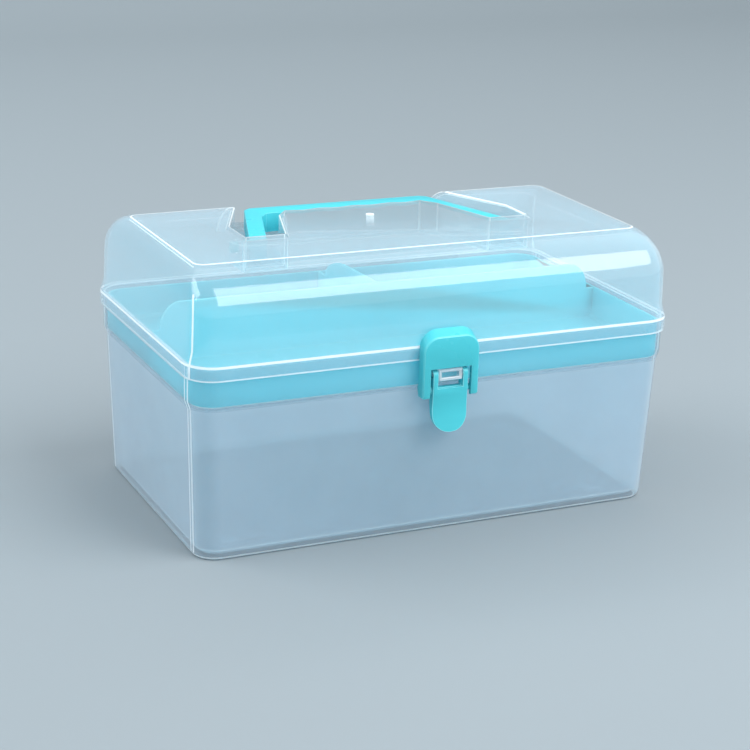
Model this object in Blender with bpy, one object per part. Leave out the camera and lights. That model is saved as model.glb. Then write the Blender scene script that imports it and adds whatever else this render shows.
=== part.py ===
"""Sewing box: milky lower box, clear domed lid, lift-out tray, folding handle and toggle latch.

Metres, +Z up. X runs along the box, the latch is at -Y and the two hinges are at +Y.
The origin is on the underside, in the middle of the box. The box is modelled shut.
"""

import math

import bmesh
import bpy
from mathutils import Matrix, Vector

MM = 0.001

# Overall sizes, over the lid's skirt
LENGTH = 260 * MM
DEPTH = 155.5 * MM
HEIGHT = 141 * MM

# Walls and fits
GAP = 0.3 * MM
BOX_WALL = 1.6 * MM
COLLAR_WALL = 1.4 * MM
LID_WALL = 1.5 * MM
SKIRT_WALL = 1.2 * MM
TRAY_WALL = 1.5 * MM
CORNER = 15 * MM

# Heights of the lid's parts, and how far the tray's ledge lies below its skirt
LID_HEIGHT = 49.5 * MM
LEDGE_DROP = 13.5 * MM
SKIRT_HEIGHT = 7 * MM
SHOULDER_HEIGHT = 6.5 * MM
DOME_HEIGHT = 20 * MM

# The lid's inset from the skirt's outer face, and the drafts of lid and box
SHOULDER_INSET = 1.9 * MM
DOME_DRAFT = 0.5 * MM
BODY_DRAFT = 2.5 * MM

# Steps in the lower box's wall, outside and inside, where the collar starts
BODY_STEP = 1.6 * MM
LEDGE_STEP = 0.5 * MM
STEP_BELOW = 2.5 * MM
STEP_ABOVE = 2.0 * MM
LEDGE_FILLET = 3 * MM

# Depth of the lid's rounded top edges at the ends, the front and the back, and their turn in degrees
DOME_END = 8.8 * MM
DOME_FRONT = 24 * MM
DOME_BACK = 24 * MM
DOME_CORNER = 5 * MM
DOME_TURN = 78

# Underside
FOOT_FILLET = 2.5 * MM
FLOOR = 2 * MM
DIMPLE_RADIUS = 4.5 * MM
DIMPLE_DEPTH = 0.6 * MM
DIMPLE_FROM_END = 22.5 * MM
DIMPLE_FROM_SIDE = 20.5 * MM

# Handle recess in the lid
RECESS_DEPTH = 16.5 * MM
POCKET_HALF = 78 * MM
POCKET_FRONT = -8.5 * MM
POCKET_BACK = 13.7 * MM
MOUTH_HALF = 61 * MM
MOUTH_Y = 51.5 * MM
ISLAND_FRONT_HALF = 57 * MM
ISLAND_SIDE_HALF = 45.5 * MM
ISLAND_SIDE_Y = 29 * MM
ISLAND_BACK_HALF = 39 * MM
ISLAND_BACK_Y = 37 * MM
WAVE_HEIGHT = 1.6 * MM
WAVE_COUNT = 4

# Handle
HANDLE_PIVOT_Y = 0 * MM
HANDLE_BELOW_TOP = 3.7 * MM
HANDLE_THICK = 10 * MM
HANDLE_HALF = 72.5 * MM
HANDLE_GRIP_HALF = 52.4 * MM
HANDLE_REACH = 61 * MM
HANDLE_PAST_PIVOT = 4.4 * MM
ARM_WIDTH = 8.9 * MM
GRIP_WIDTH = 13.4 * MM
GRIP_CORNER = 3 * MM
HANDLE_SKIN = 2.2 * MM
HANDLE_PIN_BELOW = 3.2 * MM
HANDLE_PIN_RADIUS = 2.8 * MM
HANDLE_PIN_PAST_WALL = 3 * MM

# Tray
TRAY_GAP = 0.8 * MM
TRAY_HEIGHT = 17.9 * MM
TRAY_FLOOR = 1.6 * MM
TRAY_FOOT_FILLET = 2.5 * MM
DIVIDER_Y = -3 * MM
DIVIDER_WALL = 1.8 * MM
DIVIDER_RISE = 13.6 * MM
DIVIDER_END_GAP = 4.2 * MM
DIVIDER_ROUND = 11 * MM
CROSS_X = -3.5 * MM
CROSS_WALL = 1.6 * MM
CROSS_END_GAP = 9.5 * MM
CROSS_ROUND = 28 * MM
CROSS_DROP = 1.3 * MM

# Rear hinges
HINGE_X = 75 * MM
HINGE_OUT = 5 * MM
HINGE_BELOW_SKIRT = 1.5 * MM
HINGE_BAR_RADIUS = 1.9 * MM
HINGE_EAR_RADIUS = 3.2 * MM
HINGE_EAR_WIDTH = 3 * MM
HINGE_HOOK_HALF = 8.6 * MM
HINGE_HOOK_WALL = 2 * MM

# Latch, with its heights measured down or up from the skirt's lower edge
LATCH_HALF = 15 * MM
LATCH_FRONT = 5.6 * MM
LATCH_REAR_GAP = GAP
LATCH_SKIN = 2.2 * MM
COVER_DROP = 18.3 * MM
COVER_RISE = 15.5 * MM
COVER_FACE_RISE = 12.7 * MM
COVER_CORNER = 8 * MM
COVER_FILLET = 1.2 * MM
EAR_DROP = 10.5 * MM
WINDOW_HALF = 11 * MM
WINDOW_DROP = 3.3 * MM
LUG_HALF = 6.3 * MM
LUG_HALF_HEIGHT = 3 * MM
LUG_NOSE = 2.4 * MM
LUG_ROUND = 0.9 * MM
LUG_RIM = 1.1 * MM
LUG_PANEL_DEPTH = 0.7 * MM
LUG_PIN_RADIUS = 1.4 * MM
LUG_OUT = 2.7 * MM
LEVER_DROP = 7 * MM
LEVER_HALF = 9.3 * MM
LEVER_ARM_INNER = LUG_HALF + GAP + 0.1 * MM
LEVER_THICK = 5.2 * MM
LEVER_PLATE_DROP = 13.7 * MM
LEVER_TIP_DROP = 35.5 * MM
LEVER_TIP_ROUND = 8.6 * MM
LEVER_TIP_THICK = 1.4 * MM
LEVER_DISH = 1.6 * MM
LEVER_FLARE = 3.6 * MM
COVER_PIVOT_DROP = 14.9 * MM
COVER_PIN_RADIUS = 1.6 * MM

# Facets
CORNER_STEPS = 7
FILLET_STEPS = 8
LEVER_STEPS = 6
ROUND_STEPS = 24
WAVE_STEPS = 6
OVERLAP = 0.7 * MM

# Sizes that follow from the ones above
SKIRT_Z = HEIGHT - LID_HEIGHT
LEDGE_Z = SKIRT_Z - LEDGE_DROP
SKIRT_TOP = SKIRT_Z + SKIRT_HEIGHT
SHOULDER_TOP = SKIRT_TOP + SHOULDER_HEIGHT
DOME_Z = HEIGHT - DOME_HEIGHT
COLLAR_INSET = SKIRT_WALL + GAP
COLLAR_INNER = COLLAR_INSET + COLLAR_WALL
LEDGE_INSET = COLLAR_INNER + LEDGE_STEP
BODY_INSET = COLLAR_INSET + BODY_STEP
BODY_INNER = BODY_INSET + BOX_WALL
DOME_INSET = SHOULDER_INSET + DOME_DRAFT
RECESS_FLOOR = HEIGHT - RECESS_DEPTH
HANDLE_TOP = HEIGHT - HANDLE_BELOW_TOP
HANDLE_Z = HANDLE_TOP - HANDLE_PIN_BELOW
TRAY_Z = LEDGE_Z + GAP
TRAY_TOP = TRAY_Z + TRAY_HEIGHT
TRAY_INSET = COLLAR_INNER + TRAY_GAP
TRAY_INNER = TRAY_INSET + TRAY_WALL
DIVIDER_TOP = TRAY_TOP + DIVIDER_RISE
HINGE_AXIS = Vector((0, DEPTH / 2 + HINGE_OUT, SKIRT_Z - HINGE_BELOW_SKIRT))
LEVER_AXIS = Vector((0, -DEPTH / 2 - LUG_OUT, SKIRT_Z - LEVER_DROP))
COVER_AXIS = Vector((0, LEVER_AXIS.y + 0.2 * MM, SKIRT_Z - COVER_PIVOT_DROP))
HANDLE_AXIS = Vector((0, HANDLE_PIVOT_Y, HANDLE_Z))
COVER_FRONT_Y = -DEPTH / 2 - LATCH_FRONT
COVER_REAR_Y = -DEPTH / 2 - LATCH_REAR_GAP
COVER_BOTTOM = SKIRT_Z - COVER_DROP
COVER_TOP = SKIRT_Z + COVER_RISE
COVER_FACE_TOP = SKIRT_Z + COVER_FACE_RISE
EAR_TOP = SKIRT_Z - EAR_DROP
WINDOW_TOP = SKIRT_Z - WINDOW_DROP
LEVER_PLATE_TOP = SKIRT_Z - LEVER_PLATE_DROP
LEVER_TIP = SKIRT_Z - LEVER_TIP_DROP


def clear_scene():
    for obj in list(bpy.data.objects):
        bpy.data.objects.remove(obj)


def plastic(name, color, roughness, alpha=1.0):
    material = bpy.data.materials.new(name)
    material.use_nodes = True
    shader = material.node_tree.nodes["Principled BSDF"]
    shader.inputs["Base Color"].default_value = (*color, 1)
    shader.inputs["Roughness"].default_value = roughness
    shader.inputs["Metallic"].default_value = 0
    shader.inputs["Alpha"].default_value = alpha
    material.diffuse_color = (*color, alpha)
    return material


def arc(center, radius, start, end, steps):
    """Points on an arc, in degrees. radius is a number or a pair for an ellipse."""
    across, up = radius if isinstance(radius, tuple) else (radius, radius)
    angles = [math.radians(start + (end - start) * i / steps) for i in range(steps + 1)]
    return [(center[0] + across * math.cos(a), center[1] + up * math.sin(a)) for a in angles]


def mirrored(points):
    """An outline's right half, followed by its left half in the way round that closes it."""
    return points + [(-x, y) for x, y in reversed(points)]


def grown(outline, distance):
    """The outline moved out by distance, for points that run counter-clockwise."""
    moved = []
    for i, point in enumerate(outline):
        here = Vector(point)
        into = (here - Vector(outline[i - 1])).normalized()
        out = (Vector(outline[(i + 1) % len(outline)]) - here).normalized()
        normal = Vector((into.y + out.y, -into.x - out.x)).normalized()
        share = normal.dot(Vector((into.y, -into.x)))
        moved.append(tuple(here + normal * distance / share))
    return moved


def new_object(name, mesh_data):
    mesh = bpy.data.meshes.new(name)
    bmesh.ops.recalc_face_normals(mesh_data, faces=mesh_data.faces)
    mesh_data.to_mesh(mesh)
    mesh_data.free()
    obj = bpy.data.objects.new(name, mesh)
    bpy.context.scene.collection.objects.link(obj)
    return obj


def loft(name, rings):
    """A closed solid through rings of equally many points."""
    mesh_data = bmesh.new()
    rows = [[mesh_data.verts.new(point) for point in ring] for ring in rings]
    count = len(rows[0])
    for low, high in zip(rows, rows[1:]):
        for i in range(count):
            j = (i + 1) % count
            mesh_data.faces.new((low[i], low[j], high[j], high[i]))
    mesh_data.faces.new(list(reversed(rows[0])))
    mesh_data.faces.new(rows[-1])
    return new_object(name, mesh_data)


def rounded(inset, radius, z, ends=0.0, front=0.0, back=0.0):
    """One level of the box, as a rounded rectangle inset from the skirt's outer face."""
    half_x = LENGTH / 2 - inset - ends
    corners = (
        (half_x, DEPTH / 2 - inset - back, 0),
        (-half_x, DEPTH / 2 - inset - back, 90),
        (-half_x, -DEPTH / 2 + inset + front, 180),
        (half_x, -DEPTH / 2 + inset + front, 270),
    )
    ring = []
    for x, y, start in corners:
        center = (x - math.copysign(radius, x), y - math.copysign(radius, y))
        ring += arc(center, radius, start, start + 90, CORNER_STEPS)
    return [(x, y, z) for x, y in ring]


def plate(name, outline, low, high):
    """An outline in X and Y, extruded from low to high in Z."""
    return loft(name, [[(x, y, z) for x, y in outline] for z in (low, high)])


def profile_along_x(name, outline, low, high):
    """An outline in Y and Z, extruded from low to high in X."""
    return loft(name, [[(x, y, z) for y, z in outline] for x in (low, high)])


def profile_along_y(name, outline, low, high):
    """An outline in X and Z, extruded from low to high in Y."""
    return loft(name, [[(x, y, z) for x, z in outline] for y in (low, high)])


def rod(name, radius, axis, low, high):
    """A rod along X through the axis point."""
    ring = arc((axis.y, axis.z), radius, 0, 360, ROUND_STEPS)[:-1]
    return profile_along_x(name, ring, low, high)


def combine(obj, other, operation):
    """Joins, cuts or intersects obj with a helper that stays hidden."""
    modifier = obj.modifiers.new(other.name, "BOOLEAN")
    modifier.operation = operation
    modifier.object = other
    modifier.solver = "EXACT"
    other.hide_render = True
    other.display_type = "WIRE"
    return obj


def finish(obj, material, pivot, parent=None, parent_pivot=None):
    """Dresses a piece and puts its origin on its joint."""
    obj.data.materials.append(material)
    obj.data.transform(Matrix.Translation(-pivot))
    obj.location = pivot - (parent_pivot or Vector())
    obj.parent = parent
    obj.data.shade_smooth()
    obj.data.set_sharp_from_angle(angle=math.radians(30))
    return obj


def body_half(axis_size, inset):
    return axis_size / 2 - inset


def base_box(material):
    step_low = LEDGE_Z - STEP_BELOW
    step_high = LEDGE_Z + STEP_ABOVE
    foot = BODY_INSET + BODY_DRAFT
    radius = CORNER - BODY_INSET
    outer = [rounded(foot + FOOT_FILLET, radius - FOOT_FILLET, 0)]
    for i in range(1, 4):
        turn = math.radians(30 * i)
        inset = FOOT_FILLET * (1 - math.sin(turn))
        outer.append(rounded(foot + inset, radius - inset, FOOT_FILLET * (1 - math.cos(turn))))
    outer += [
        rounded(BODY_INSET, radius, step_low),
        rounded(COLLAR_INSET, CORNER - COLLAR_INSET, step_high),
        rounded(COLLAR_INSET, CORNER - COLLAR_INSET, SKIRT_TOP),
    ]
    inner_radius = CORNER - BODY_INNER
    inner = [
        rounded(BODY_INNER + BODY_DRAFT + FOOT_FILLET, inner_radius - FOOT_FILLET, FLOOR),
        rounded(BODY_INNER + BODY_DRAFT, inner_radius, FLOOR + FOOT_FILLET),
        rounded(BODY_INNER, inner_radius, LEDGE_Z),
        rounded(LEDGE_INSET, CORNER - LEDGE_INSET, LEDGE_Z),
        rounded(COLLAR_INNER, CORNER - COLLAR_INNER, LEDGE_Z + LEDGE_FILLET),
        rounded(COLLAR_INNER, CORNER - COLLAR_INNER, SKIRT_TOP + OVERLAP),
    ]
    box = loft("base_box", outer)
    combine(box, loft("box_hollow", inner), "DIFFERENCE")
    for number, (side_x, side_y) in enumerate(((-1, -1), (1, -1), (1, 1), (-1, 1))):
        center = (
            side_x * (body_half(LENGTH, foot) - DIMPLE_FROM_END),
            side_y * (body_half(DEPTH, foot) - DIMPLE_FROM_SIDE),
        )
        ring = arc(center, DIMPLE_RADIUS, 0, 360, ROUND_STEPS)[:-1]
        dimple = plate(f"dimple_{number}", ring, -DIMPLE_DEPTH, DIMPLE_DEPTH)
        combine(box, dimple, "DIFFERENCE")
    combine(box, latch_lug(), "UNION")
    combine(box, rod("lug_pins", LUG_PIN_RADIUS, LEVER_AXIS, -lug_pin_half(), lug_pin_half()), "UNION")
    for side in (-1, 1):
        hinge_bar(box, side)
    return finish(box, material, Vector())


def lug_pin_half():
    return LEVER_HALF - 2 * GAP


def latch_lug():
    """The block between the lever's arms, with a shallow panel in its face."""
    root = -body_half(DEPTH, COLLAR_INSET + OVERLAP)
    face = LEVER_AXIS.y - LUG_NOSE
    low, high = LEVER_AXIS.z - LUG_HALF_HEIGHT, LEVER_AXIS.z + LUG_HALF_HEIGHT
    nose = arc((face + LUG_ROUND, high - LUG_ROUND), LUG_ROUND, 90, 180, 3)
    nose += arc((face + LUG_ROUND, low + LUG_ROUND), LUG_ROUND, 180, 270, 3)
    lug = profile_along_x("latch_lug", [(root, high), *nose, (root, low)], -LUG_HALF, LUG_HALF)
    half = LUG_HALF - LUG_RIM
    panel = mirrored([(half, low + LUG_RIM), (half, high - LUG_RIM)])
    depth = face + LUG_PANEL_DEPTH
    return combine(lug, profile_along_y("lug_panel", panel, face - OVERLAP, depth), "DIFFERENCE")


def hinge_bar(box, side):
    """Two ears on the collar with a bar between them."""
    name = "left" if side < 0 else "right"
    root = body_half(DEPTH, COLLAR_INSET + OVERLAP)
    ear_in = HINGE_HOOK_HALF + GAP
    ear_out = ear_in + HINGE_EAR_WIDTH
    y, z = HINGE_AXIS.y, HINGE_AXIS.z
    web_top = SKIRT_Z - GAP
    web = [(root, z - 9 * MM), (y, z - HINGE_EAR_RADIUS), (y, web_top), (root, web_top)]
    for ear, (low, high) in enumerate(((-ear_out, -ear_in), (ear_in, ear_out))):
        low, high = side * HINGE_X + low, side * HINGE_X + high
        combine(box, profile_along_x(f"web_{name}_{ear}", web, low, high), "UNION")
        combine(box, rod(f"ear_{name}_{ear}", HINGE_EAR_RADIUS, HINGE_AXIS, low, high), "UNION")
    low, high = side * HINGE_X - ear_in - GAP, side * HINGE_X + ear_in + GAP
    combine(box, rod(f"bar_{name}", HINGE_BAR_RADIUS, HINGE_AXIS, low, high), "UNION")


def dome(name, wall, bottom, top):
    """The lid's outer skin, or its inner one for a wall above 0."""
    skirt = SKIRT_WALL if wall else 0.0
    rings = [
        rounded(skirt, CORNER - skirt, bottom),
        rounded(skirt, CORNER - skirt, SKIRT_TOP - wall / 4),
        rounded(SHOULDER_INSET + wall, CORNER - SHOULDER_INSET - wall, SHOULDER_TOP - wall / 4),
    ]
    inset = DOME_INSET + wall
    radius = CORNER - inset
    last = math.radians(DOME_TURN)
    for i in range(FILLET_STEPS + 1):
        turn = last * i / FILLET_STEPS
        share = (1 - math.cos(turn)) / (1 - math.cos(last))
        rings.append(
            rounded(
                inset,
                radius + (DOME_CORNER - wall - radius) * share,
                DOME_Z + (top - DOME_Z) * math.sin(turn) / math.sin(last),
                ends=(DOME_END - wall) * share,
                front=(DOME_FRONT - wall) * share,
                back=(DOME_BACK - wall) * share,
            )
        )
    return loft(name, rings)


def island_wave(x):
    """How far the finger waves on the island's back edge reach past their mean line."""
    return WAVE_HEIGHT * math.cos(2 * math.pi * WAVE_COUNT * x / (2 * ISLAND_BACK_HALF)) / 2


def recess_outline():
    """The handle channel seen from above, counter-clockwise and open past the lid's back."""
    past_back = DEPTH / 2 + 5 * MM
    steps = WAVE_COUNT * WAVE_STEPS
    waves = []
    for i in range(steps + 1):
        x = ISLAND_BACK_HALF * (2 * i / steps - 1)
        waves.append((x, ISLAND_BACK_Y + island_wave(x)))
    left = [
        (-MOUTH_HALF, MOUTH_Y),
        (-POCKET_HALF, POCKET_BACK),
        (-POCKET_HALF, POCKET_FRONT),
        (-ISLAND_FRONT_HALF, POCKET_FRONT),
        (-ISLAND_SIDE_HALF, ISLAND_SIDE_Y),
    ]
    right = [(-x, y) for x, y in reversed(left)]
    return [(-MOUTH_HALF, past_back), *left, *waves, *right, (MOUTH_HALF, past_back)]


def lid(material):
    body = dome("lid", 0.0, SKIRT_Z, HEIGHT)
    hollow = dome("lid_hollow", LID_WALL, SKIRT_Z - OVERLAP, HEIGHT - LID_WALL)
    outline = recess_outline()
    shell = plate("recess_shell", grown(outline, LID_WALL), RECESS_FLOOR - LID_WALL, HEIGHT + OVERLAP)
    combine(hollow, shell, "DIFFERENCE")
    combine(body, hollow, "DIFFERENCE")
    combine(body, plate("recess", outline, RECESS_FLOOR, HEIGHT + OVERLAP), "DIFFERENCE")
    hole = HANDLE_PIN_RADIUS + GAP
    reach = POCKET_HALF + LID_WALL + OVERLAP
    for name, low, high in (("left", -reach, -HANDLE_HALF), ("right", HANDLE_HALF, reach)):
        combine(body, rod(f"handle_hole_{name}", hole, HANDLE_AXIS, low, high), "DIFFERENCE")
    for side in (-1, 1):
        combine(body, hinge_hook(side), "UNION")
    return finish(body, material, HINGE_AXIS)


def hinge_hook(side):
    """An open hook that snaps over a hinge bar, with the web that joins it to the skirt."""
    inner = HINGE_BAR_RADIUS + GAP
    outer = inner + HINGE_HOOK_WALL
    center = (HINGE_AXIS.y, HINGE_AXIS.z)
    root = DEPTH / 2 - SKIRT_WALL / 2
    outline = [(root, SKIRT_Z + 0.5 * MM), (root, SKIRT_TOP - 0.5 * MM)]
    outline += arc(center, outer, 70, -130, ROUND_STEPS)
    outline += arc(center, inner, -130, 140, ROUND_STEPS)
    middle = side * HINGE_X
    name = "hinge_hook_left" if side < 0 else "hinge_hook_right"
    return profile_along_x(name, outline, middle - HINGE_HOOK_HALF, middle + HINGE_HOOK_HALF)


def tray(material):
    radius = CORNER - TRAY_INSET
    foot = LEDGE_INSET + GAP
    outer = [
        rounded(foot, CORNER - foot, TRAY_Z),
        rounded(TRAY_INSET, radius, TRAY_Z + LEDGE_FILLET),
        rounded(TRAY_INSET, radius, TRAY_TOP),
    ]
    floor = TRAY_Z + TRAY_FLOOR
    low_inset = TRAY_INNER + TRAY_FOOT_FILLET
    inner_radius = CORNER - TRAY_INNER
    inner = [
        rounded(low_inset, inner_radius - TRAY_FOOT_FILLET, floor),
        rounded(TRAY_INNER + TRAY_FOOT_FILLET / 4, inner_radius, floor + TRAY_FOOT_FILLET * 0.6),
        rounded(TRAY_INNER, inner_radius, floor + 2 * TRAY_FOOT_FILLET),
        rounded(TRAY_INNER, inner_radius, TRAY_TOP + OVERLAP),
    ]
    pan = loft("tray", outer)
    combine(pan, loft("tray_hollow", inner), "DIFFERENCE")
    combine(pan, long_divider(), "UNION")
    combine(pan, cross_divider(), "UNION")
    return finish(pan, material, Vector((0, 0, TRAY_Z)))


def long_divider():
    """A wall along X that stands above the tray, with rounded upper corners."""
    root = body_half(LENGTH, TRAY_INNER) + OVERLAP
    end = body_half(LENGTH, TRAY_INNER) - DIVIDER_END_GAP
    seat = TRAY_TOP - GAP
    low = TRAY_Z + TRAY_FLOOR - OVERLAP
    corner = arc((end - DIVIDER_ROUND, seat), (DIVIDER_ROUND, DIVIDER_TOP - seat), 0, 90, FILLET_STEPS)
    outline = mirrored([(root, low), (root, seat), *corner])
    half = DIVIDER_WALL / 2
    return profile_along_y("long_divider", outline, DIVIDER_Y - half, DIVIDER_Y + half)


def cross_divider():
    """A wall from the long divider to the tray's back, rounded down at its rear end."""
    root = body_half(DEPTH, TRAY_INNER) + OVERLAP
    end = body_half(DEPTH, TRAY_INNER) - CROSS_END_GAP
    seat = TRAY_TOP - GAP
    low = TRAY_Z + TRAY_FLOOR - OVERLAP
    rise = DIVIDER_TOP - CROSS_DROP - seat
    corner = arc((end - CROSS_ROUND, seat), (CROSS_ROUND, rise), 0, 90, FILLET_STEPS)
    outline = [(root, low), (root, seat), *corner, (DIVIDER_Y, DIVIDER_TOP), (DIVIDER_Y, low)]
    half = CROSS_WALL / 2
    return profile_along_x("cross_divider", outline, CROSS_X - half, CROSS_X + half)


def handle_outline(inset):
    """The bail seen from above, counter-clockwise, moved in by inset from its faces."""
    lean = (HANDLE_HALF - HANDLE_GRIP_HALF) / HANDLE_REACH
    inner_y = HANDLE_REACH - GRIP_WIDTH + inset
    outer_y = HANDLE_REACH - inset
    corner = GRIP_CORNER

    def outer_x(y):
        return HANDLE_HALF - lean * y - inset

    def inner_x(y):
        return outer_x(y) - ARM_WIDTH + 2 * inset

    start = HANDLE_PIVOT_Y - HANDLE_PAST_PIVOT + 5 * inset
    grip = [(inner_x(inner_y - 2 * corner), inner_y - 2 * corner), (inner_x(inner_y) - corner, inner_y)]
    right = [
        (inner_x(start), start),
        (outer_x(start), start),
        (outer_x(outer_y - corner), outer_y - corner),
        (outer_x(outer_y) - corner, outer_y),
    ]
    left = [(-x, y) for x, y in reversed(right)]
    steps = WAVE_COUNT * WAVE_STEPS
    reach = grip[1][0]
    waves = []
    for i in range(1, steps):
        x = reach * (2 * i / steps - 1)
        waves.append((x, inner_y + island_wave(x)))
    left_grip = [(-grip[0][0], grip[0][1]), (-grip[1][0], grip[1][1])]
    return [*right, *left, *left_grip, *waves, grip[1], grip[0]]


def handle(material, box_lid):
    low = HANDLE_TOP - HANDLE_THICK
    bail = plate("handle", handle_outline(0.0), low, HANDLE_TOP)
    hollow = plate("handle_hollow", handle_outline(HANDLE_SKIN), low - OVERLAP, HANDLE_TOP - HANDLE_SKIN)
    combine(bail, hollow, "DIFFERENCE")
    pin_out = POCKET_HALF + LID_WALL + HANDLE_PIN_PAST_WALL
    pin_in = HANDLE_HALF - ARM_WIDTH / 2
    for name, side in (("left", -1), ("right", 1)):
        ends = sorted((side * pin_in, side * pin_out))
        combine(bail, rod(f"pin_{name}", HANDLE_PIN_RADIUS, HANDLE_AXIS, *ends), "UNION")
    return finish(bail, material, HANDLE_AXIS, box_lid, HINGE_AXIS)


def lever_profile():
    """The lever's side, from its eye down the dished plate to the flared tip."""
    y, z = LEVER_AXIS.y, LEVER_AXIS.z
    half = LEVER_THICK / 2
    front = []
    back = []
    for i in range(LEVER_STEPS + 1):
        share = i / LEVER_STEPS
        height = LEVER_PLATE_TOP + (LEVER_TIP - LEVER_PLATE_TOP) * share
        face = y - half + LEVER_DISH * share - LEVER_FLARE * share**3
        front.append((face, height))
        back.append((face + LEVER_THICK + (LEVER_TIP_THICK - LEVER_THICK) * share, height))
    return [*arc((y, z), half, 0, 180, ROUND_STEPS // 2), *front, *reversed(back)]


def latch_lever(material):
    low = LEVER_TIP + LEVER_TIP_ROUND
    side = LEVER_HALF - LEVER_TIP_ROUND
    top = LEVER_AXIS.z + 4 * MM
    tip = arc((side, low), LEVER_TIP_ROUND, -90, 0, ROUND_STEPS // 4)
    outline = mirrored([*tip, (LEVER_HALF, top)])
    reach = 2 * LATCH_FRONT
    lever = profile_along_x("latch_lever", lever_profile(), -LEVER_HALF - OVERLAP, LEVER_HALF + OVERLAP)
    y = LEVER_AXIS.y
    combine(lever, profile_along_y("lever_outline", outline, y - reach, y + reach), "INTERSECT")
    fork = mirrored([(LEVER_ARM_INNER, LEVER_PLATE_TOP), (LEVER_ARM_INNER, top + OVERLAP)])
    combine(lever, profile_along_y("lever_fork", fork, y - reach, y + reach), "DIFFERENCE")
    eye = rod("lever_eye", LUG_PIN_RADIUS + GAP, LEVER_AXIS, -LATCH_HALF, LATCH_HALF)
    combine(lever, eye, "DIFFERENCE")
    pin_half = cover_pin_half()
    combine(lever, rod("cover_pins", COVER_PIN_RADIUS, COVER_AXIS, -pin_half, pin_half), "UNION")
    return finish(lever, material, LEVER_AXIS)


def cover_pin_half():
    return LATCH_HALF - LATCH_SKIN / 2


def cover_ring(inset, top, radius, y):
    """The cover's outline at one depth, with round upper corners."""
    half = LATCH_HALF - inset
    upper = arc((half - radius, top - radius), radius, 0, 90, CORNER_STEPS)
    lower = COVER_BOTTOM + inset
    outline = mirrored([(half - 0.8 * MM, lower), (half, lower + 0.8 * MM), *upper])
    return [(x, y, z) for x, z in outline]


def latch_cover(material, lever):
    rings = []
    for i in range(4):
        turn = math.radians(30 * i)
        inset = COVER_FILLET * (1 - math.sin(turn))
        depth = COVER_FRONT_Y + COVER_FILLET * (1 - math.cos(turn))
        rings.append(cover_ring(inset, COVER_FACE_TOP - inset, COVER_CORNER - inset, depth))
    rings.append(cover_ring(0.0, COVER_TOP, COVER_CORNER + OVERLAP, COVER_REAR_Y))
    cover = loft("latch_cover", rings)
    for name, side in (("left", -1), ("right", 1)):
        ends = sorted((side * (WINDOW_HALF + LATCH_SKIN / 2), side * LATCH_HALF))
        combine(cover, profile_along_x(f"ear_{name}", ear_profile(), *ends), "UNION")
    half = LATCH_HALF - LATCH_SKIN
    near, far = COVER_FRONT_Y + LATCH_SKIN, COVER_REAR_Y + 2 * LATCH_FRONT
    slope = (COVER_TOP - COVER_FACE_TOP) / (COVER_REAR_Y - COVER_FRONT_Y - COVER_FILLET)
    hollow = []
    for y in (near, far):
        top = COVER_FACE_TOP - LATCH_SKIN + slope * (y - COVER_FRONT_Y - COVER_FILLET)
        radius = COVER_CORNER - LATCH_SKIN
        upper = arc((half - radius, top - radius), radius, 0, 90, CORNER_STEPS)
        hollow.append([(x, y, z) for x, z in mirrored([(half, 0), *upper])])
    combine(cover, loft("cover_hollow", hollow), "DIFFERENCE")
    window = mirrored([(WINDOW_HALF, 0), (WINDOW_HALF, WINDOW_TOP)])
    past = COVER_FRONT_Y - OVERLAP
    combine(cover, profile_along_y("cover_window", window, past, far), "DIFFERENCE")
    reach = cover_pin_half() + GAP
    combine(cover, rod("cover_eyes", COVER_PIN_RADIUS + GAP, COVER_AXIS, -reach, reach), "DIFFERENCE")
    return finish(cover, material, COVER_AXIS, lever, LEVER_AXIS)


def ear_profile():
    """The side of a leg's rear ear, below the lid's skirt."""
    inside = COVER_REAR_Y - OVERLAP
    rear = COVER_REAR_Y + SKIRT_WALL
    low = COVER_BOTTOM + 0.8 * MM
    return [(inside, low), (rear - 0.4 * MM, low + 2.4 * MM), (rear, EAR_TOP - 2.5 * MM), (inside, EAR_TOP)]


def main():
    clear_scene()
    milky = plastic("milky_polypropylene", (0.72, 0.79, 0.88), 0.35, alpha=0.45)
    clear = plastic("clear_polypropylene", (0.80, 0.87, 0.93), 0.12, alpha=0.3)
    turquoise = plastic("turquoise_polypropylene", (0.09, 0.60, 0.70), 0.3)
    base_box(milky)
    box_lid = lid(clear)
    tray(turquoise)
    handle(turquoise, box_lid)
    lever = latch_lever(turquoise)
    latch_cover(turquoise, lever)


main()
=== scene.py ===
"""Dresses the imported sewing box: clear and milky polypropylene, turquoise mouldings, studio and camera."""

import logging
import math
from dataclasses import dataclass, field
from enum import Enum
from typing import ClassVar

import bmesh
import bpy
from mathutils import Matrix, Vector

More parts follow.
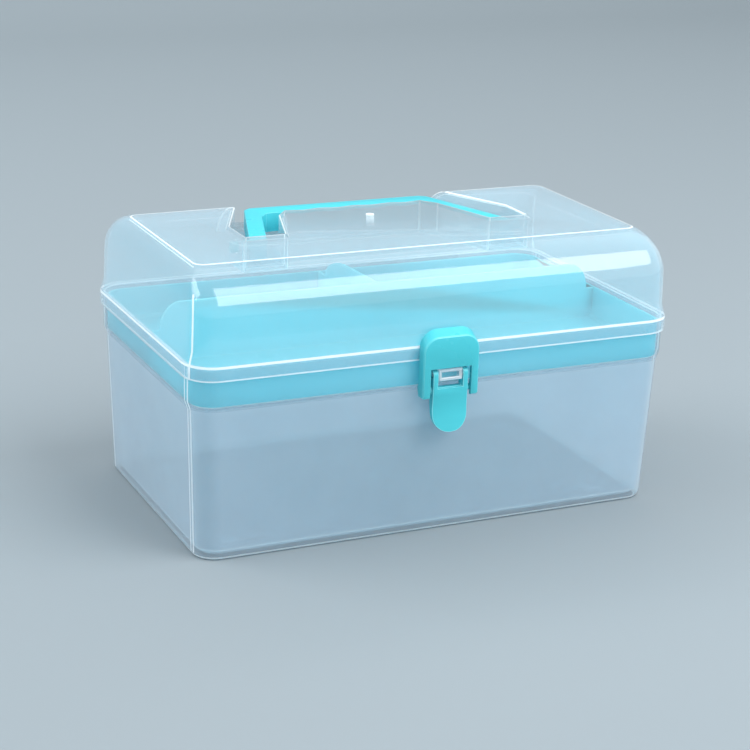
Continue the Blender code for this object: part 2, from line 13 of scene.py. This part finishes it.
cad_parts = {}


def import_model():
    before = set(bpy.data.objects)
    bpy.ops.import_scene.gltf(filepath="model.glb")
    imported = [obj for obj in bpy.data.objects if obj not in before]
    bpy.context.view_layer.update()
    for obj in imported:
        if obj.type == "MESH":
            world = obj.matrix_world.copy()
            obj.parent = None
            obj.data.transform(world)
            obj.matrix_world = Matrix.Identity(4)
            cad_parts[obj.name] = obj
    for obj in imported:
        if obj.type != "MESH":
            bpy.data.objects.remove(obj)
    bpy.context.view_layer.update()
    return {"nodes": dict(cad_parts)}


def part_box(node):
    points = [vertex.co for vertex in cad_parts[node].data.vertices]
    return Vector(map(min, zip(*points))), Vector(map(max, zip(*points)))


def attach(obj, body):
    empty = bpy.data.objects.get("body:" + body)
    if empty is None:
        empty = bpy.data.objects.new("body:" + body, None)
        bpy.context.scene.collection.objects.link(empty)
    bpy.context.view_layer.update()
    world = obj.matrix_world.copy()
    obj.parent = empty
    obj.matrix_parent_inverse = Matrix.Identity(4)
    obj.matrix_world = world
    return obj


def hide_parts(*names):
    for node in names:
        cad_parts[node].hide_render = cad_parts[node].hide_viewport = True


LOG = logging.getLogger("sewing_box")
MM = 0.001

# What counts as one level, as a real corner, as a level face, and as a long upright line
TOLERANCE = 0.05 * MM
SHARP = math.radians(28)
FLAT = 0.9995
SHORTEST_LINE = 3 * MM

# Which way the corners' upright painted highlight lines look, in degrees from the end walls' own direction
FIRST_LINE = 3.2
SECOND_LINE = 12.9
THIRD_LINE = 25.7
CORNER_TOLERANCE = 1.5

# Merging of the CAD triangles, and the angles below which faces are shaded as one
MERGE_DISTANCE = MM / 1000
SAME_PLANE = math.radians(0.5)
SMOOTH_MOULDING = math.radians(35)
SMOOTH_MARK = math.radians(40)
SMOOTH_RING = math.radians(60)

# The middle part of a noise's range, where most of its values lie
NOISE_LOW = 0.3
NOISE_HIGH = 0.7


class Slot(Enum):
    """Material slots of the record."""

    MILKY = "milky_polypropylene"
    CLEAR = "clear_polypropylene"
    TURQUOISE = "turquoise_polypropylene"


def linear(hex_color: str) -> tuple[float, float, float, float]:
    """Turns an sRGB hex colour into linear values.

    Args:
        hex_color: Six hex digits with a leading number sign.

    Returns:
        Linear red, green and blue, and an alpha of 1.
    """
    channels = [int(hex_color[i : i + 2], 16) / 255 for i in (1, 3, 5)]
    red, green, blue = (c / 12.92 if c <= 0.04045 else ((c + 0.055) / 1.055) ** 2.4 for c in channels)
    return red, green, blue, 1.0


def add_node(
    tree: bpy.types.NodeTree,
    kind: str,
    settings: dict[str, object] | None = None,
    inputs: dict[str | int, object] | None = None,
) -> bpy.types.Node:
    """Adds a shader node with its settings, values and links.

    Args:
        tree: The tree that the node goes into.
        kind: The node's type name, without its ShaderNode prefix.
        settings: Properties of the node itself.
        inputs: A value or an output socket for each named or numbered input.

    Returns:
        The new node.
    """
    node = tree.nodes.new(f"ShaderNode{kind}")
    for name, value in (settings or {}).items():
        setattr(node, name, value)
    for name, value in (inputs or {}).items():
        if isinstance(value, bpy.types.NodeSocket):
            tree.links.new(value, node.inputs[name])
        else:
            node.inputs[name].default_value = value
    return node


def blank_material(name: str) -> tuple[bpy.types.Material, bpy.types.NodeTree, bpy.types.Node]:
    """Makes a material whose tree holds its output alone.

    Args:
        name: The material's name.

    Returns:
        The material, its tree and its output node.
    """
    material = bpy.data.materials.new(name)
    material.use_nodes = True
    tree = material.node_tree
    tree.nodes.clear()
    return material, tree, add_node(tree, "OutputMaterial")


@dataclass(frozen=True)
class ClearPolypropylene:
    """Thin moulded polypropylene, seen through, with a cool white veil and a gloss that rises at a slant.

    The real wall gives the eye the scene behind it, a milky veil that thickens where the wall turns away,
    soft window reflections that waver with the moulding, and pale lines where edges let the light out;
    whiter copies of this material paint those lines on as highlights.

    Attributes:
        name: The material's name.
        tint: The colour of what passes straight through one wall.
        cloud: The colour of the veil.
        haze: The veil's share seen square on.
        edge_haze: The veil's share seen at a slant.
        gloss_roughness: The roughness of the reflections.
        thin_above: The height above which the wall lies close on the tray and its veil is thin.
        thin_share: How much of the veil is left there.
        ripple_mm: The width of the moulding's waves.
        ripple_depth_mm: Their depth.
        mottle_mm: The width of the veil's uneven patches.
        mottle: How far the veil's share strays in them.
        veil_rise: How late the veil thickens as the wall turns away.
        mirror: The reflected share square on.
        grazing_mirror: What is added to it at the flattest slant.
        mirror_rise: How late that comes.
    """

    name: str
    tint: str
    cloud: str
    haze: float
    edge_haze: float
    gloss_roughness: float
    thin_above: float = 1.0
    thin_share: float = 1.0
    ripple_mm: float = 18.0
    ripple_depth_mm: float = 0.03
    mottle_mm: float = 35.0
    mottle: float = 0.04
    veil_rise: float = 2.6
    mirror: float = 0.04
    grazing_mirror: float = 0.7
    mirror_rise: float = 5.0

    def build(self) -> bpy.types.Material:
        """Builds the material.

        Returns:
            A mix of clear passage, veil and gloss.
        """
        material, tree, output = blank_material(self.name)
        place = add_node(tree, "TexCoord").outputs["Object"]
        ripple = add_node(
            tree, "TexNoise", inputs={"Vector": place, "Scale": 1 / (self.ripple_mm * MM), "Detail": 2.0}
        )
        bump = add_node(
            tree,
            "Bump",
            inputs={"Height": ripple.outputs["Fac"], "Distance": self.ripple_depth_mm * MM, "Strength": 1.0},
        ).outputs["Normal"]
        facing = add_node(tree, "LayerWeight", inputs={"Blend": 0.5}).outputs["Facing"]
        grazing = add_node(tree, "Math", {"operation": "POWER"}, {0: facing, 1: self.mirror_rise}).outputs[0]
        mirror = add_node(
            tree, "Math", {"operation": "MULTIPLY_ADD"}, {0: grazing, 1: self.grazing_mirror, 2: self.mirror}
        ).outputs[0]
        turned = add_node(tree, "Math", {"operation": "POWER"}, {0: facing, 1: self.veil_rise}).outputs[0]
        mottle = add_node(
            tree, "TexNoise", inputs={"Vector": place, "Scale": 1 / (self.mottle_mm * MM), "Detail": 3.0}
        ).outputs["Fac"]
        uneven = add_node(
            tree,
            "MapRange",
            inputs={
                "Value": mottle,
                "From Min": NOISE_LOW,
                "From Max": NOISE_HIGH,
                "To Min": 1.0 - self.mottle,
                "To Max": 1.0 + self.mottle,
            },
        ).outputs["Result"]
        thick = add_node(
            tree,
            "Math",
            {"operation": "MULTIPLY_ADD"},
            {0: turned, 1: self.edge_haze - self.haze, 2: self.haze},
        ).outputs[0]
        height = add_node(tree, "SeparateXYZ", inputs={0: place}).outputs["Z"]
        close = add_node(
            tree,
            "MapRange",
            inputs={
                "Value": height,
                "From Min": self.thin_above - MM,
                "From Max": self.thin_above,
                "To Min": 1.0,
                "To Max": self.thin_share,
            },
        ).outputs["Result"]
        veil = add_node(tree, "Math", {"operation": "MULTIPLY"}, {0: thick, 1: uneven}).outputs[0]
        share = add_node(tree, "Math", {"operation": "MULTIPLY"}, {0: veil, 1: close}).outputs[0]
        through = add_node(tree, "BsdfTransparent", inputs={"Color": linear(self.tint)}).outputs[0]
        front = add_node(
            tree, "BsdfDiffuse", inputs={"Color": linear(self.cloud), "Normal": bump}
        ).outputs[0]
        behind = add_node(
            tree, "BsdfTranslucent", inputs={"Color": linear(self.cloud), "Normal": bump}
        ).outputs[0]
        cloud = add_node(tree, "MixShader", inputs={0: 0.5, 1: front, 2: behind}).outputs[0]
        body = add_node(tree, "MixShader", inputs={0: share, 1: through, 2: cloud}).outputs[0]
        gloss = add_node(
            tree, "BsdfAnisotropic", inputs={"Roughness": self.gloss_roughness, "Normal": bump}
        ).outputs[0]
        surface = add_node(tree, "MixShader", inputs={0: mirror, 1: body, 2: gloss}).outputs[0]
        tree.links.new(surface, output.inputs["Surface"])
        return material


@dataclass(frozen=True)
class TurquoisePolypropylene:
    """Pigmented polypropylene moulding, satin, which glows a little because light comes through its walls.

    Attributes:
        name: The material's name.
        color: The pigment's colour.
        roughness: The mean roughness.
        glow: The share of the light that passes through a wall.
        uneven: How far the roughness strays from its mean.
        grain_mm: The width of the mould's fine grain.
        grain_depth_mm: Its depth.
        flow_mm: The width of the patches where the melt's flow left another gloss.
        ior: The index of refraction of polypropylene.
    """

    name: str
    color: str
    roughness: float
    glow: float
    uneven: float = 0.04
    grain_mm: float = 0.8
    grain_depth_mm: float = 0.012
    flow_mm: float = 22.0
    ior: float = 1.49

    def build(self) -> bpy.types.Material:
        """Builds the material.

        Returns:
            A satin material with a fine moulded grain and slightly uneven gloss.
        """
        material, tree, output = blank_material(self.name)
        place = add_node(tree, "TexCoord").outputs["Object"]
        grain = add_node(
            tree, "TexNoise", inputs={"Vector": place, "Scale": 1 / (self.grain_mm * MM), "Detail": 2.0}
        )
        bump = add_node(
            tree,
            "Bump",
            inputs={"Height": grain.outputs["Fac"], "Distance": self.grain_depth_mm * MM, "Strength": 1.0},
        ).outputs["Normal"]
        flow = add_node(
            tree, "TexNoise", inputs={"Vector": place, "Scale": 1 / (self.flow_mm * MM), "Detail": 3.0}
        ).outputs["Fac"]
        roughness = add_node(
            tree,
            "MapRange",
            inputs={
                "Value": flow,
                "From Min": NOISE_LOW,
                "From Max": NOISE_HIGH,
                "To Min": self.roughness - self.uneven,
                "To Max": self.roughness + self.uneven,
            },
        ).outputs["Result"]
        satin = add_node(
            tree,
            "BsdfPrincipled",
            inputs={
                "Base Color": linear(self.color),
                "Roughness": roughness,
                "IOR": self.ior,
                "Normal": bump,
            },
        ).outputs[0]
        through = add_node(
            tree, "BsdfTranslucent", inputs={"Color": linear(self.color), "Normal": bump}
        ).outputs[0]
        surface = add_node(tree, "MixShader", inputs={0: self.glow, 1: satin, 2: through}).outputs[0]
        tree.links.new(surface, output.inputs["Surface"])
        return material


@dataclass(frozen=True)
class StudioPaper:
    """Uncoated grey-blue background paper, which looks smooth and matt and shows soft shadows.

    Attributes:
        name: The material's name.
        color: The paper's colour.
        roughness: Its roughness.
        fibre_mm: The width of its fibres, drawn as coarse as they need to show.
        fibre_depth_mm: Their depth.
    """

    name: str = "studio_paper"
    color: str = "#7B858B"
    roughness: float = 0.75
    fibre_mm: float = 1.5
    fibre_depth_mm: float = 0.02

    def build(self) -> bpy.types.Material:
        """Builds the paper's material.

        Returns:
            A matt material with a fine fibre grain.
        """
        material, tree, output = blank_material(self.name)
        place = add_node(tree, "TexCoord").outputs["Object"]
        fibre = add_node(
            tree, "TexNoise", inputs={"Vector": place, "Scale": 1 / (self.fibre_mm * MM), "Detail": 4.0}
        )
        bump = add_node(
            tree, "Bump", inputs={"Height": fibre.outputs["Fac"], "Distance": self.fibre_depth_mm * MM}
        ).outputs["Normal"]
        shader = add_node(
            tree,
            "BsdfPrincipled",
            inputs={"Base Color": linear(self.color), "Roughness": self.roughness, "Normal": bump},
        )
        tree.links.new(shader.outputs[0], output.inputs["Surface"])
        return material


def deselect() -> None:
    """Leaves object mode with nothing selected."""
    if bpy.context.object and bpy.context.object.mode != "OBJECT":
        bpy.ops.object.mode_set(mode="OBJECT")
    bpy.ops.object.select_all(action="DESELECT")


def dress(node: bpy.types.Object, material: bpy.types.Material) -> None:
    """Gives an object one material in place of those it has.

    Args:
        node: The object.
        material: Its new material.
    """
    node.data.materials.clear()
    node.data.materials.append(material)


def is_sharp(edge: bmesh.types.BMEdge) -> bool:
    """Tells whether two faces meet at a real corner.

    Args:
        edge: The edge between them.

    Returns:
        True for a corner, False for a facet of a round.
    """
    return edge.calc_face_angle(0.0) > SHARP


def at_height(edge: bmesh.types.BMEdge, height: float) -> bool:
    """Tells whether an edge lies in one level.

    Args:
        edge: The edge.
        height: The level.

    Returns:
        True if both its ends are there.
    """
    return all(abs(vertex.co.z - height) < TOLERANCE for vertex in edge.verts)


def upright_corner(edge: bmesh.types.BMEdge, turn: float) -> bool:
    """Tells whether an edge is one of the upright painted highlight lines on the box's four round corners.

    Args:
        edge: The edge.
        turn: Which way the line looks, in degrees from the end walls' own direction.

    Returns:
        True for a long upright outer edge whose faces look that way on the whole.
    """
    first, last = (vertex.co for vertex in edge.verts)
    if abs(first.z - last.z) < SHORTEST_LINE or len(edge.link_faces) != 2:
        return False
    out = edge.link_faces[0].normal + edge.link_faces[1].normal
    looks = math.degrees(math.atan2(abs(out.y), abs(out.x)))
    return out.x * first.x > 0 and abs(looks - turn) < CORNER_TOLERANCE


@dataclass
class Moulding:
    """A CAD node in its finish, with rounded edges in a paler one that paints a highlight along each edge.

    Attributes:
        node: The node's name.
        body: The body that it rides on.
        slot: Its material slot, not used.
        finish: The finish of its walls.
        painted_highlight_finish: The finish of its edges.
        edge_width: How wide its edges are rounded.
        clamped: Whether short edges hold the rounding back.
    """

    node: str
    body: str
    slot: Slot
    finish: ClearPolypropylene | TurquoisePolypropylene
    painted_highlight_finish: ClearPolypropylene | TurquoisePolypropylene
    edge_width: float
    clamped: ClassVar[bool] = True

    def is_line(self, edge: bmesh.types.BMEdge) -> bool:
        """Tells which edges are rounded and painted with the pale highlight finish.

        Args:
            edge: An edge of the moulding.

        Returns:
            True for the edges that catch the light, which are rounded and given a painted highlight.
        """
        return is_sharp(edge)

    def build(self, nodes: dict[str, bpy.types.Object]) -> bpy.types.Object:
        """Makes the finished moulding in place of the node.

        Args:
            nodes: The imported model's objects by name.

        Returns:
            The new piece.
        """
        deselect()
        piece = bpy.data.objects.new(f"{self.node}_moulding", nodes[self.node].data.copy())
        bpy.context.scene.collection.objects.link(piece)
        piece.data.materials.clear()
        piece.data.materials.append(self.finish.build())
        piece.data.materials.append(self.painted_highlight_finish.build())
        for face in piece.data.polygons:
            face.material_index = 0
        piece.select_set(True)
        bpy.context.view_layer.objects.active = piece
        bpy.ops.object.mode_set(mode="EDIT")
        bpy.ops.mesh.select_all(action="SELECT")
        bpy.ops.mesh.remove_doubles(threshold=MERGE_DISTANCE)
        bpy.ops.mesh.dissolve_limited(angle_limit=SAME_PLANE)
        bpy.ops.mesh.select_mode(type="EDGE")
        bpy.ops.mesh.select_all(action="DESELECT")
        mesh = bmesh.from_edit_mesh(piece.data)
        for edge in mesh.edges:
            edge.select_set(self.is_line(edge))
        bmesh.update_edit_mesh(piece.data)
        bpy.ops.transform.edge_bevelweight(value=1.0)
        bpy.ops.object.mode_set(mode="OBJECT")
        rounding = piece.modifiers.new("rounding", "BEVEL")
        rounding.limit_method = "WEIGHT"
        rounding.width = self.edge_width
        rounding.segments = 2
        rounding.use_clamp_overlap = self.clamped
        # The rounded edges take the second, paler material: a painted highlight along them.
        rounding.material = 1
        bpy.ops.object.modifier_apply(modifier=rounding.name)
        bpy.ops.object.shade_smooth_by_angle(angle=SMOOTH_MOULDING)
        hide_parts(self.node)
        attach(piece, self.body)
        LOG.info("%s built with %d faces", piece.name, len(piece.data.polygons))
        return piece


@dataclass
class LowerBox(Moulding):
    """The milky lower box, with the pale crescents over its feet, which are painted highlights, and the gate
    mark on its floor.

    Attributes:
        foot_mark_x: How far the round foot marks lie from the middle along the box.
        foot_mark_y: How far they lie from the middle across it.
        floor: The height of the floor's upper side.
        crescent_radius: The radius of the pale crescent, a painted highlight, over a foot mark.
        crescent_thickness: Its thickness.
        gate_radius: The radius of the gate mark.
    """

    foot_mark_x: float = 101.9 * MM
    foot_mark_y: float = 51.65 * MM
    floor: float = 2 * MM
    crescent_radius: float = 4.4 * MM
    crescent_thickness: float = 1.0 * MM
    gate_radius: float = 3.4 * MM
    clamped: ClassVar[bool] = False

    def is_line(self, edge: bmesh.types.BMEdge) -> bool:
        """Adds the underside's outline and two upright lines on each round corner, all painted pale as
        highlight lines.

        Args:
            edge: An edge of the box.

        Returns:
            True for those and for real corners, but for the rear half of each foot mark, which gets no
            painted highlight.
        """
        middle = (edge.verts[0].co + edge.verts[1].co) / 2
        # Only the front half of each foot mark's rim is painted as a pale highlight.
        if middle.z < MM and is_sharp(edge):
            return middle.y < math.copysign(self.foot_mark_y, middle.y)
        if at_height(edge, 0.0) and max(face.normal.z for face in edge.link_faces) > -FLAT:
            return True
        return is_sharp(edge) or upright_corner(edge, FIRST_LINE) or upright_corner(edge, SECOND_LINE)

    def build(self, nodes: dict[str, bpy.types.Object]) -> bpy.types.Object:
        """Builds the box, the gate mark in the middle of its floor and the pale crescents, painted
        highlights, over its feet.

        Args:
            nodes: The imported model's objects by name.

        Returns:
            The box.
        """
        box = super().build(nodes)
        gate_mark("floor_gate_mark", Vector((0, 0, self.floor)), self.gate_radius, self)
        for number, (side_x, side_y) in enumerate(((-1, -1), (1, -1), (1, 1), (-1, 1))):
            place = Vector((side_x * self.foot_mark_x, side_y * self.foot_mark_y, self.floor))
            self.crescent(number, place)
        return box

    def crescent(self, number: int, place: Vector) -> None:
        """Makes the pale half ring, a painted highlight where a foot mark's edge lets the light out.

        Args:
            number: The number of the foot.
            place: The middle of the ring, in the floor's upper side.
        """
        deselect()
        bpy.ops.mesh.primitive_torus_add(
            major_segments=32,
            minor_segments=8,
            major_radius=self.crescent_radius,
            minor_radius=self.crescent_thickness / 2,
            location=place,
        )
        ring = bpy.context.object
        ring.name = f"foot_mark_painted_highlight_{number}"
        bpy.ops.object.transform_apply(location=True, rotation=True, scale=True)
        bpy.ops.object.mode_set(mode="EDIT")
        bpy.ops.mesh.select_all(action="DESELECT")
        mesh = bmesh.from_edit_mesh(ring.data)
        for vertex in mesh.verts:
            vertex.select_set(vertex.co.y > place.y)
        bmesh.update_edit_mesh(ring.data)
        bpy.ops.mesh.delete(type="VERT")
        bpy.ops.mesh.select_all(action="SELECT")
        bpy.ops.mesh.fill_holes(sides=0)
        bpy.ops.mesh.normals_make_consistent(inside=False)
        bpy.ops.object.mode_set(mode="OBJECT")
        bpy.ops.object.shade_smooth_by_angle(angle=SMOOTH_RING)
        dress(ring, self.painted_highlight_finish.build())
        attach(ring, self.body)


@dataclass
class Lid(Moulding):
    """The clear domed lid with its skirt and its handle recess.

    Attributes:
        rim: The height of the skirt's upper line.
        deck: The height of the lid's flat top.
        gate_radius: The radius of the gate mark on the raised middle.
        gate_y: How far it lies behind the handle's axis.
    """

    rim: float
    deck: float
    gate_radius: float = 2.2 * MM
    gate_y: float = 16 * MM
    clamped: ClassVar[bool] = False

    def is_line(self, edge: bmesh.types.BMEdge) -> bool:
        """Adds the deck's outline, the skirt's upper line and one upright line on each corner, all painted
        pale as highlight lines.

        Args:
            edge: An edge of the lid.

        Returns:
            True for those and for real corners.
        """
        if is_sharp(edge) or at_height(edge, self.rim):
            return True
        if at_height(edge, self.deck):
            return min(face.normal.z for face in edge.link_faces) < FLAT
        return upright_corner(edge, THIRD_LINE)

    def build(self, nodes: dict[str, bpy.types.Object]) -> bpy.types.Object:
        """Builds the lid and the gate mark on its raised middle.

        Args:
            nodes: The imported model's objects by name.

        Returns:
            The lid.
        """
        lid = super().build(nodes)
        gate_mark("lid_gate_mark", Vector((0, self.gate_y, self.deck)), self.gate_radius, self)
        return lid


def gate_mark(name: str, place: Vector, radius: float, moulding: Moulding) -> None:
    """Makes the small round scar that the mould's gate leaves; the scar is real, and its pale finish is a
    painted highlight.

    Args:
        name: The piece's name.
        place: The middle of the scar, on the wall.
        radius: Its radius.
        moulding: The moulding that it belongs to.
    """
    depth = 0.3 * MM
    dish = 0.1 * MM
    ring_width = 0.3 * radius
    deselect()
    bpy.ops.mesh.primitive_cylinder_add(vertices=24, radius=radius, depth=depth, location=place)
    mark = bpy.context.object
    mark.name = name
    bpy.ops.object.transform_apply(location=True, rotation=True, scale=True)
    bpy.ops.object.mode_set(mode="EDIT")
    bpy.ops.mesh.select_mode(type="FACE")
    bpy.ops.mesh.select_all(action="DESELECT")
    mesh = bmesh.from_edit_mesh(mark.data)
    for face in mesh.faces:
        face.select_set(face.normal.z > FLAT)
    bmesh.update_edit_mesh(mark.data)
    bpy.ops.mesh.inset(thickness=ring_width)
    bpy.ops.transform.translate(value=(0, 0, -dish))
    bpy.ops.mesh.inset(thickness=ring_width)
    bpy.ops.transform.translate(value=(0, 0, dish))
    bpy.ops.object.mode_set(mode="OBJECT")
    bpy.ops.object.shade_smooth_by_angle(angle=SMOOTH_MARK)
    dress(mark, moulding.painted_highlight_finish.build())
    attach(mark, moulding.body)


@dataclass
class Studio:
    """Paper sweep, softboxes and camera, with lengths in metres, angles in radians and lights in watts.

    Attributes:
        sweep_half_width: Half the paper's width.
        sweep_front: Where the paper starts in front.
        sweep_back: Where it starts to rise.
        sweep_height: How high it reaches.
        sweep_radius: The radius of its curve.
        sweep_steps: How many strips the curve has.
        key_place: Where the large softbox at the front right hangs.
        key_size: Its width and height.
        key_power: Its power.
        key_aim: The way that it shines.
        fill_place: Where the softbox at the left hangs.
        fill_size: Its width and height.
        fill_power: Its power.
        fill_target: What it is aimed at.
        wash_place: Where the lamp over the backdrop hangs. It shines straight down.
        wash_size: Its width and height.
        wash_power: Its power.
        room_color: The colour of the room's own light.
        room_strength: Its strength.
        camera_place: Where the camera stands.
        camera_yaw: How far it is turned to the right.
        camera_pitch: How far it looks down.
        camera_roll: How far it is tilted about its line of sight.
        focal_per_width: Its focal length as a share of the sensor's width.
        sensor_mm: The sensor's width in millimetres.
        paper: The finish of the paper.
    """

    sweep_half_width: float = 3.0
    sweep_front: float = -2.0
    sweep_back: float = 1.5
    sweep_height: float = 2.5
    sweep_radius: float = 0.8
    sweep_steps: int = 24
    key_place: tuple[float, float, float] = (0.69, -0.84, 1.3)
    key_size: tuple[float, float] = (1.22, 1.4)
    key_power: float = 31.0
    key_aim: tuple[float, float, float] = (0.0, 0.45, -0.89)
    fill_place: tuple[float, float, float] = (-1.25, 0.5, 1.2)
    fill_size: tuple[float, float] = (1.3, 0.8)
    fill_power: float = 18.0
    fill_target: tuple[float, float, float] = (0.0, 0.0, 0.08)
    wash_place: tuple[float, float, float] = (0.0, 1.5, 1.6)
    wash_size: tuple[float, float] = (3.0, 1.0)
    wash_power: float = 20.0
    room_color: str = "#EFF3F5"
    room_strength: float = 1.3
    camera_place: tuple[float, float, float] = (-0.4132, -0.8808, 0.3787)
    camera_yaw: float = 0.437
    camera_pitch: float = 0.318
    camera_roll: float = 0.031
    focal_per_width: float = 2.613333
    sensor_mm: float = 36.0
    paper: StudioPaper = field(default_factory=StudioPaper)

    def sweep(self) -> None:
        """Builds the floor and the backdrop as one curved sheet."""
        deselect()
        mesh = bpy.data.meshes.new("studio_sweep")
        profile = [(self.sweep_front, 0.0)]
        for i in range(self.sweep_steps + 1):
            turn = math.radians(90 * i / self.sweep_steps)
            profile.append(
                (
                    self.sweep_back + self.sweep_radius * math.sin(turn),
                    self.sweep_radius * (1 - math.cos(turn)),
                )
            )
        profile.append((self.sweep_back + self.sweep_radius, self.sweep_height))
        points = [(x, y, z) for y, z in profile for x in (-self.sweep_half_width, self.sweep_half_width)]
        faces = [(2 * i, 2 * i + 1, 2 * i + 3, 2 * i + 2) for i in range(len(profile) - 1)]
        mesh.from_pydata(points, [], faces)
        mesh.shade_smooth()
        sheet = bpy.data.objects.new("studio_sweep", mesh)
        bpy.context.scene.collection.objects.link(sheet)
        dress(sheet, self.paper.build())

    def softbox(
        self,
        name: str,
        place: tuple[float, float, float],
        size: tuple[float, float],
        power: float,
        aim: Vector,
    ) -> bpy.types.Object:
        """Adds an area light.

        Args:
            name: The light's name.
            place: Where it hangs.
            size: Its width and height.
            power: Its power in watts.
            aim: The way that it shines.

        Returns:
            The lamp.
        """
        light = bpy.data.lights.new(name, "AREA")
        light.shape = "RECTANGLE"
        light.size, light.size_y = size
        light.energy = power
        lamp = bpy.data.objects.new(name, light)
        bpy.context.scene.collection.objects.link(lamp)
        lamp.matrix_world = Matrix.Translation(place) @ aim.to_track_quat("-Z", "Y").to_matrix().to_4x4()
        return lamp

    def lights(self) -> None:
        """Hangs the softboxes and sets the room's light."""
        self.softbox(
            "key_front_right", self.key_place, self.key_size, self.key_power, Vector(self.key_aim)
        )
        aim = Vector(self.fill_target) - Vector(self.fill_place)
        self.softbox("fill_left", self.fill_place, self.fill_size, self.fill_power, aim)
        wash = self.softbox(
            "backdrop_wash", self.wash_place, self.wash_size, self.wash_power, Vector((0, 0, -1))
        )
        wash.visible_glossy = False
        world = bpy.data.worlds.new("room")
        bpy.context.scene.world = world
        world.use_nodes = True
        background = world.node_tree.nodes["Background"]
        background.inputs["Color"].default_value = linear(self.room_color)
        background.inputs["Strength"].default_value = self.room_strength

    def camera(self) -> None:
        """Sets up the camera."""
        yaw, pitch = self.camera_yaw, self.camera_pitch
        ahead = Vector(
            (math.sin(yaw) * math.cos(pitch), math.cos(yaw) * math.cos(pitch), -math.sin(pitch))
        )
        level = Vector((math.cos(yaw), -math.sin(yaw), 0))
        above = level.cross(ahead)
        roll = self.camera_roll
        right = level * math.cos(roll) + above * math.sin(roll)
        up = above * math.cos(roll) - level * math.sin(roll)
        data = bpy.data.cameras.new("camera")
        data.sensor_width = self.sensor_mm
        data.lens = data.sensor_width * self.focal_per_width
        camera = bpy.data.objects.new("camera", data)
        bpy.context.scene.collection.objects.link(camera)
        turn = Matrix((right, up, -ahead)).transposed()
        camera.matrix_world = Matrix.Translation(self.camera_place) @ turn.to_4x4()
        bpy.context.scene.camera = camera

    def build(self) -> None:
        """Builds the studio."""
        self.sweep()
        self.lights()
        self.camera()
        bpy.context.scene.view_settings.view_transform = "Standard"
        LOG.info("studio ready")


def main() -> None:
    """Builds the pieces in order and writes how large the result is."""
    logging.basicConfig(level=logging.INFO)
    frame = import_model()
    nodes = frame["nodes"]
    milky = ClearPolypropylene("milky_wall", "#F2F8FB", "#E6F0FA", 0.38, 0.66, 0.16, 77 * MM, 0.35)
    # The edge copies are paler than the walls: they paint a highlight along the rounded edges.
    milky_painted_highlight = ClearPolypropylene("milky_painted_highlight", "#F4F9FB", "#FBFDFF", 0.85, 0.95, 0.16)
    clear = ClearPolypropylene("clear_wall", "#F3FAFC", "#E9F3FC", 0.13, 0.42, 0.05)
    clear_painted_highlight = ClearPolypropylene("clear_painted_highlight", "#F8FCFD", "#FEFEFF", 0.9, 0.97, 0.08)
    # One turquoise plastic in two copies: the tray's colour is painted brighter, painted light, and the
    # handle's and latch's darker, painted shade; the tray's higher glow is real, from its thin walls.
    thin_walled_painted_bright_turquoise = TurquoisePolypropylene("thin_walled_turquoise_painted_bright", "#7EEBF2", 0.3, 0.55)
    turquoise = TurquoisePolypropylene("turquoise_painted_shade", "#4AC6D2", 0.3, 0.25)
    # The paler turquoise on the edges is a painted highlight.
    turquoise_painted_highlight = TurquoisePolypropylene("turquoise_painted_highlight", "#9AF0F6", 0.26, 0.3)
    LowerBox("base_box", "base", Slot.MILKY, milky, milky_painted_highlight, 0.6 * MM).build(nodes)
    rim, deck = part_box("base_box")[1].z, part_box("lid")[1].z
    Lid("lid", "lid", Slot.CLEAR, clear, clear_painted_highlight, 0.6 * MM, rim, deck).build(nodes)
    Moulding("tray", "tray", Slot.TURQUOISE, thin_walled_painted_bright_turquoise, turquoise_painted_highlight, 0.3 * MM).build(nodes)
    Moulding("handle", "handle", Slot.TURQUOISE, turquoise, turquoise_painted_highlight, 0.5 * MM).build(nodes)
    Moulding("latch_lever", "lever", Slot.TURQUOISE, turquoise, turquoise_painted_highlight, 0.35 * MM).build(nodes)
    Moulding("latch_cover", "cover", Slot.TURQUOISE, turquoise, turquoise_painted_highlight, 0.35 * MM).build(nodes)
    Studio().build()


if __name__ == "__main__":
    main()
